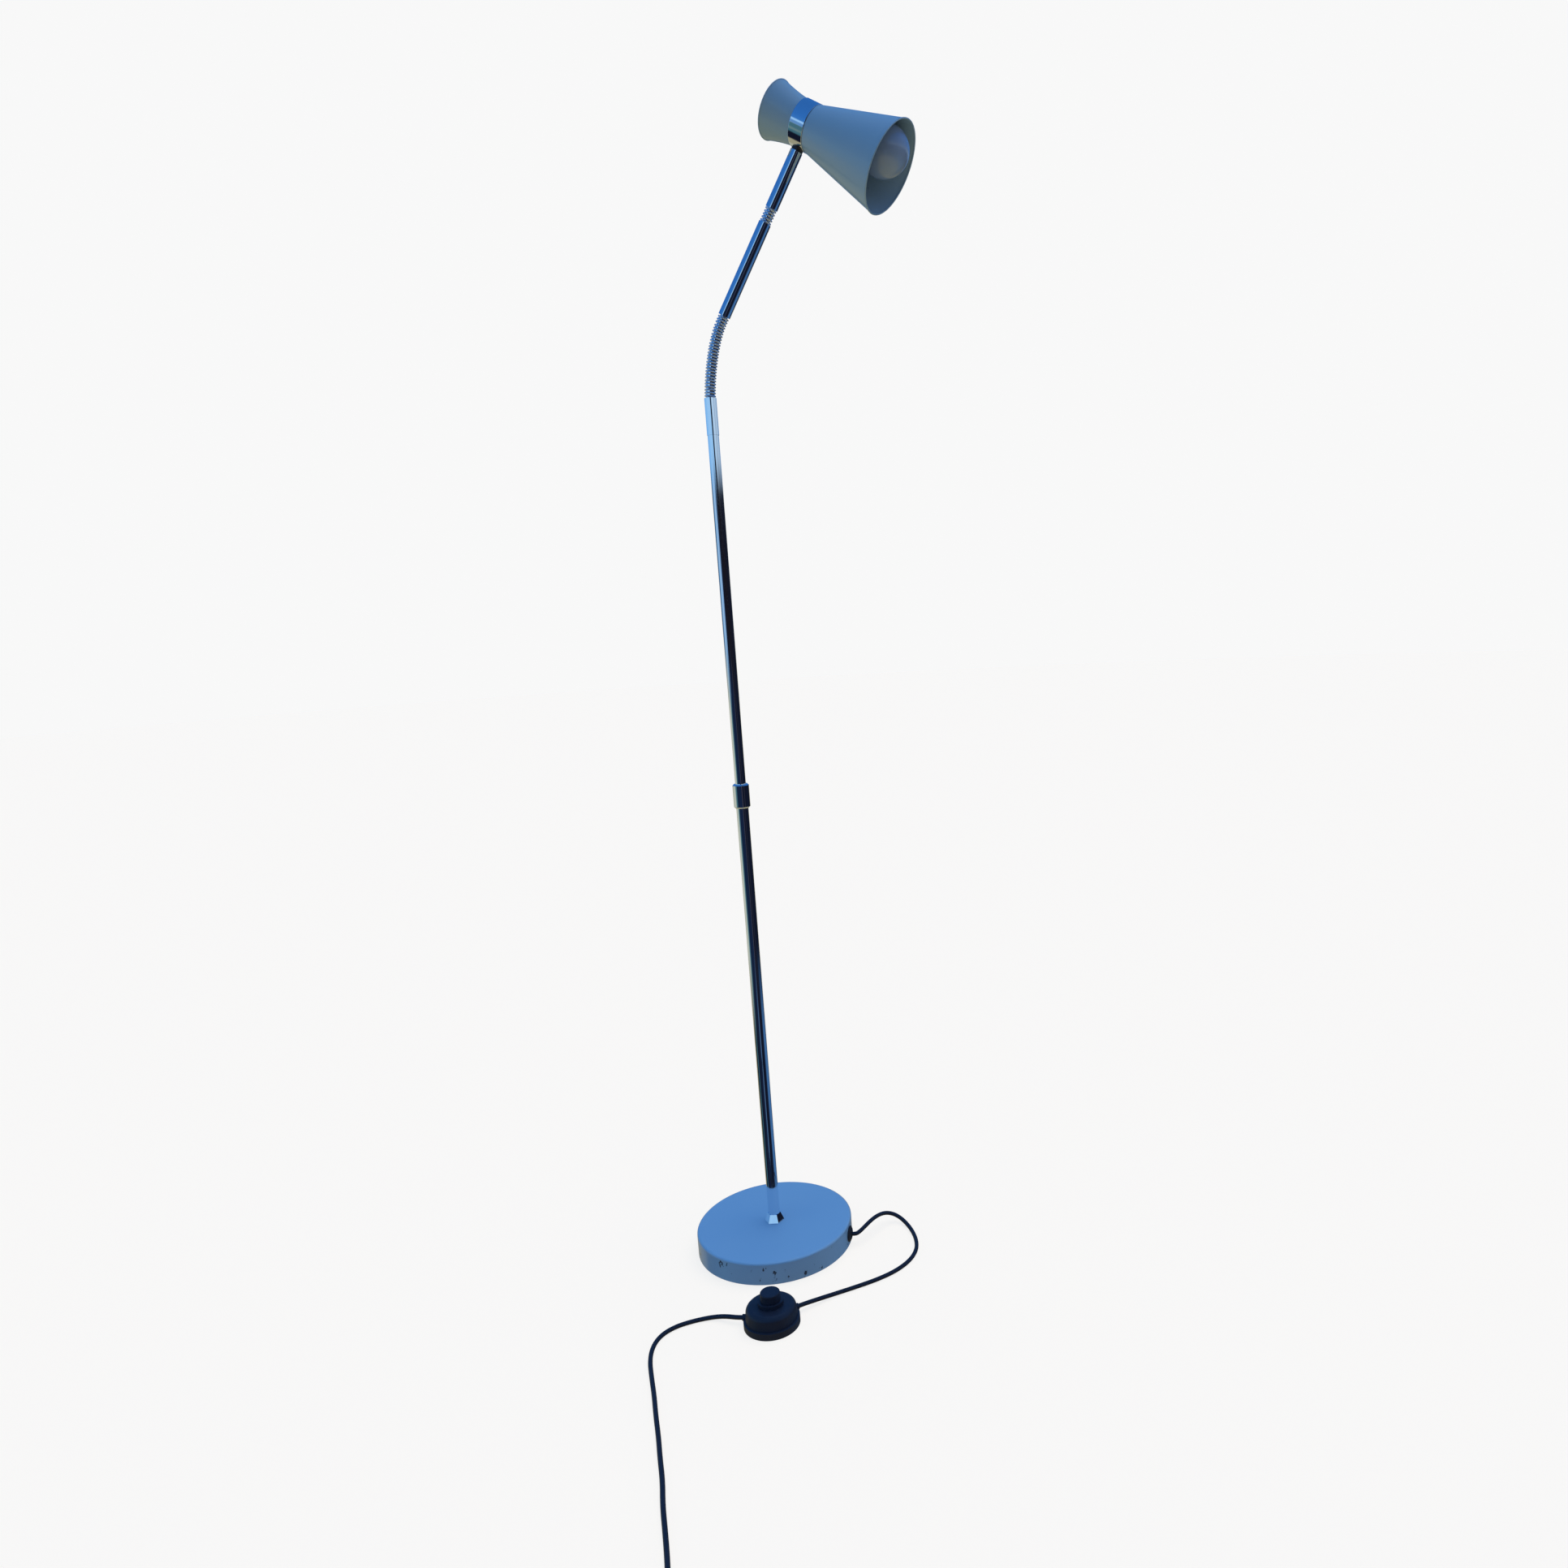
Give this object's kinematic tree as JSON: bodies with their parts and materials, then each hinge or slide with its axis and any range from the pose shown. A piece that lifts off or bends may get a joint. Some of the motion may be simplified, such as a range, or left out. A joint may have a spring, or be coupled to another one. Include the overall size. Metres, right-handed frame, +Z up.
{
  "type": "examination lamp",
  "caption": "Adjustable floor lamp with a round weighted base, telescopic mast, ribbed gooseneck, swivelling waisted metal shade and foot switch on its cord.",
  "frame": {"origin": "centre of the felt pad underneath the base, on the floor and on the mast's axis", "axes": "+Z up along the mast; +X towards the side the gooseneck and the shade's mouth lean to; +Y away from the side the foot switch lies on"},
  "size_m": [0.3934, 0.7614, 1.4865],
  "materials": {
    "base_enamel": "satin enamel",
    "shade_enamel": "semi-gloss enamel",
    "chrome": "polished",
    "black_fitting": "semi-gloss black",
    "switch_black": "satin",
    "cord_black": "satin sheath",
    "grommet_black": "satin",
    "bush_white": "satin",
    "holder_black": "moulded",
    "iron": "rough",
    "zinc_steel": "zinc plated",
    "felt": "felt",
    "brass": "turned",
    "cap_aluminium": "spun",
    "opal_glass": "opal"
  },
  "bodies": {
    "base": {"base_cover": "base_enamel", "ballast_disc": "iron", "bottom_plate": "zinc_steel", "base_screws": "zinc_steel", "felt_pad": "felt", "cord_grommet": "grommet_black", "cord_clip": "zinc_steel", "lead_in_base": "cord_black", "stem_tube": "zinc_steel", "cone_nut": "chrome", "lock_nut": "zinc_steel", "tube_plug": "bush_white", "lower_tube": "chrome", "collar_bush": "bush_white", "collet": "bush_white", "switch_cover": "switch_black", "switch_base": "switch_black", "switch_screws": "zinc_steel", "switch_block": "holder_black", "lead_to_switch": "cord_black", "lead_to_coil": "cord_black", "lead_coil": "cord_black", "cord_tie": "switch_black", "lead_end": "cord_black", "plug_body": "switch_black", "plug_pins": "brass"},
    "collar": {"collar_nut": "chrome"},
    "guide": {"guide_bush": "bush_white"},
    "mast": {"upper_tube": "chrome", "neck_ferrule": "chrome", "lead_in_mast": "cord_black"},
    "neck_1": {"neck_link_01": "chrome"},
    "neck_2": {"neck_link_02": "chrome"},
    "neck_3": {"neck_link_03": "chrome"},
    "neck_4": {"neck_link_04": "chrome"},
    "neck_5": {"neck_link_05": "chrome"},
    "neck_6": {"neck_link_06": "chrome"},
    "neck_7": {"neck_link_07": "chrome"},
    "neck_8": {"neck_link_08": "chrome"},
    "neck_9": {"neck_link_09": "chrome"},
    "arm": {"arm_sleeve": "chrome", "lead_in_arm": "cord_black"},
    "wrist": {"wrist_link": "chrome"},
    "tip": {"tip_sleeve": "chrome", "swivel_stud": "brass", "swivel_nut": "brass"},
    "head": {"swivel_knuckle": "black_fitting", "head_band": "chrome", "front_shade": "shade_enamel", "rear_shade": "shade_enamel", "rear_vent_disc": "black_fitting", "holder_plate": "zinc_steel", "holder_bolt": "brass", "holder_cap": "holder_black", "holder_shell": "holder_black", "lamp_socket": "brass", "bulb_cap": "cap_aluminium", "bulb_globe": "opal_glass", "lead_in_head": "cord_black"},
    "button": {"switch_button": "switch_black"}
  },
  "joints": [
    {"name": "collar_turn", "type": "hinge", "parent": "base", "child": "collar", "pos_m": [0, 0, 0.635], "axis": [0, 0, 1], "range_deg": [0, 120]},
    {"name": "mast_slide", "type": "slide", "parent": "base", "child": "guide", "axis": [0, 0, 1], "range_m": [-0.385, 0.08]},
    {"name": "mast_turn", "type": "hinge", "parent": "guide", "child": "mast", "pos_m": [0, 0, 0.5], "axis": [0, 0, 1], "range_deg": [-170, 170]},
    {"name": "neck_bend_1", "type": "hinge", "parent": "mast", "child": "neck_1", "pos_m": [0, 0, 1.1385], "axis": [0.2113, 0.9774, 0], "range_deg": [-11, 3.8]},
    {"name": "neck_side_1", "type": "hinge", "parent": "neck_1", "child": "neck_2", "pos_m": [0.0009, -0.00019, 1.14935], "axis": [0.9739, -0.2106, -0.0844], "range_deg": [-8, 8]},
    {"name": "neck_bend_2", "type": "hinge", "parent": "neck_2", "child": "neck_3", "pos_m": [0.00226, -0.00049, 1.16015], "axis": [0.2113, 0.9774, 0], "range_deg": [-11, 3.8]},
    {"name": "neck_side_2", "type": "hinge", "parent": "neck_3", "child": "neck_4", "pos_m": [0.00402, -0.00087, 1.17089], "axis": [0.9639, -0.2084, -0.1654], "range_deg": [-8, 8]},
    {"name": "neck_bend_3", "type": "hinge", "parent": "neck_4", "child": "neck_5", "pos_m": [0.00617, -0.00133, 1.18155], "axis": [0.2113, 0.9774, 0], "range_deg": [-11, 3.8]},
    {"name": "neck_side_3", "type": "hinge", "parent": "neck_5", "child": "neck_6", "pos_m": [0.00874, -0.00189, 1.19212], "axis": [0.9485, -0.2051, -0.2414], "range_deg": [-8, 8]},
    {"name": "neck_bend_4", "type": "hinge", "parent": "neck_6", "child": "neck_7", "pos_m": [0.01181, -0.00255, 1.20254], "axis": [0.2113, 0.9774, 0], "range_deg": [-11, 3.8]},
    {"name": "neck_side_4", "type": "hinge", "parent": "neck_7", "child": "neck_8", "pos_m": [0.01551, -0.00335, 1.21275], "axis": [0.9164, -0.1981, -0.3479], "range_deg": [-8, 8]},
    {"name": "neck_bend_5", "type": "hinge", "parent": "neck_8", "child": "neck_9", "pos_m": [0.02002, -0.00433, 1.22262], "axis": [0.2113, 0.9774, 0], "range_deg": [-11, 3.8]},
    {"name": "neck_side_5", "type": "hinge", "parent": "neck_9", "child": "arm", "pos_m": [0.02553, -0.00552, 1.23193], "axis": [0.836, -0.1808, -0.518], "range_deg": [-8, 8]},
    {"name": "wrist_bend", "type": "hinge", "parent": "arm", "child": "wrist", "pos_m": [0.08705, -0.01882, 1.33586], "axis": [0.2113, 0.9774, 0], "range_deg": [-9, 9]},
    {"name": "wrist_side", "type": "hinge", "parent": "wrist", "child": "tip", "pos_m": [0.09256, -0.02001, 1.34517], "axis": [0.836, -0.1808, -0.518], "range_deg": [-9, 9]},
    {"name": "head_swivel", "type": "hinge", "parent": "tip", "child": "head", "pos_m": [0.12933, -0.02796, 1.40728], "axis": [0.5063, -0.1095, 0.8554], "range_deg": [-170, 170]},
    {"name": "button_press", "type": "slide", "parent": "base", "child": "button", "axis": [0, 0, 1], "range_m": [-0.004, 0], "stiffness_N_per_m": 1500}
  ],
  "couplings": [
    {"joint": "neck_bend_2", "follows": "neck_bend_1", "ratio": 1},
    {"joint": "neck_side_2", "follows": "neck_side_1", "ratio": 1},
    {"joint": "neck_bend_3", "follows": "neck_bend_1", "ratio": 1},
    {"joint": "neck_side_3", "follows": "neck_side_1", "ratio": 1},
    {"joint": "neck_bend_4", "follows": "neck_bend_1", "ratio": 1},
    {"joint": "neck_side_4", "follows": "neck_side_1", "ratio": 1},
    {"joint": "neck_bend_5", "follows": "neck_bend_1", "ratio": 1},
    {"joint": "neck_side_5", "follows": "neck_side_1", "ratio": 1}
  ]
}
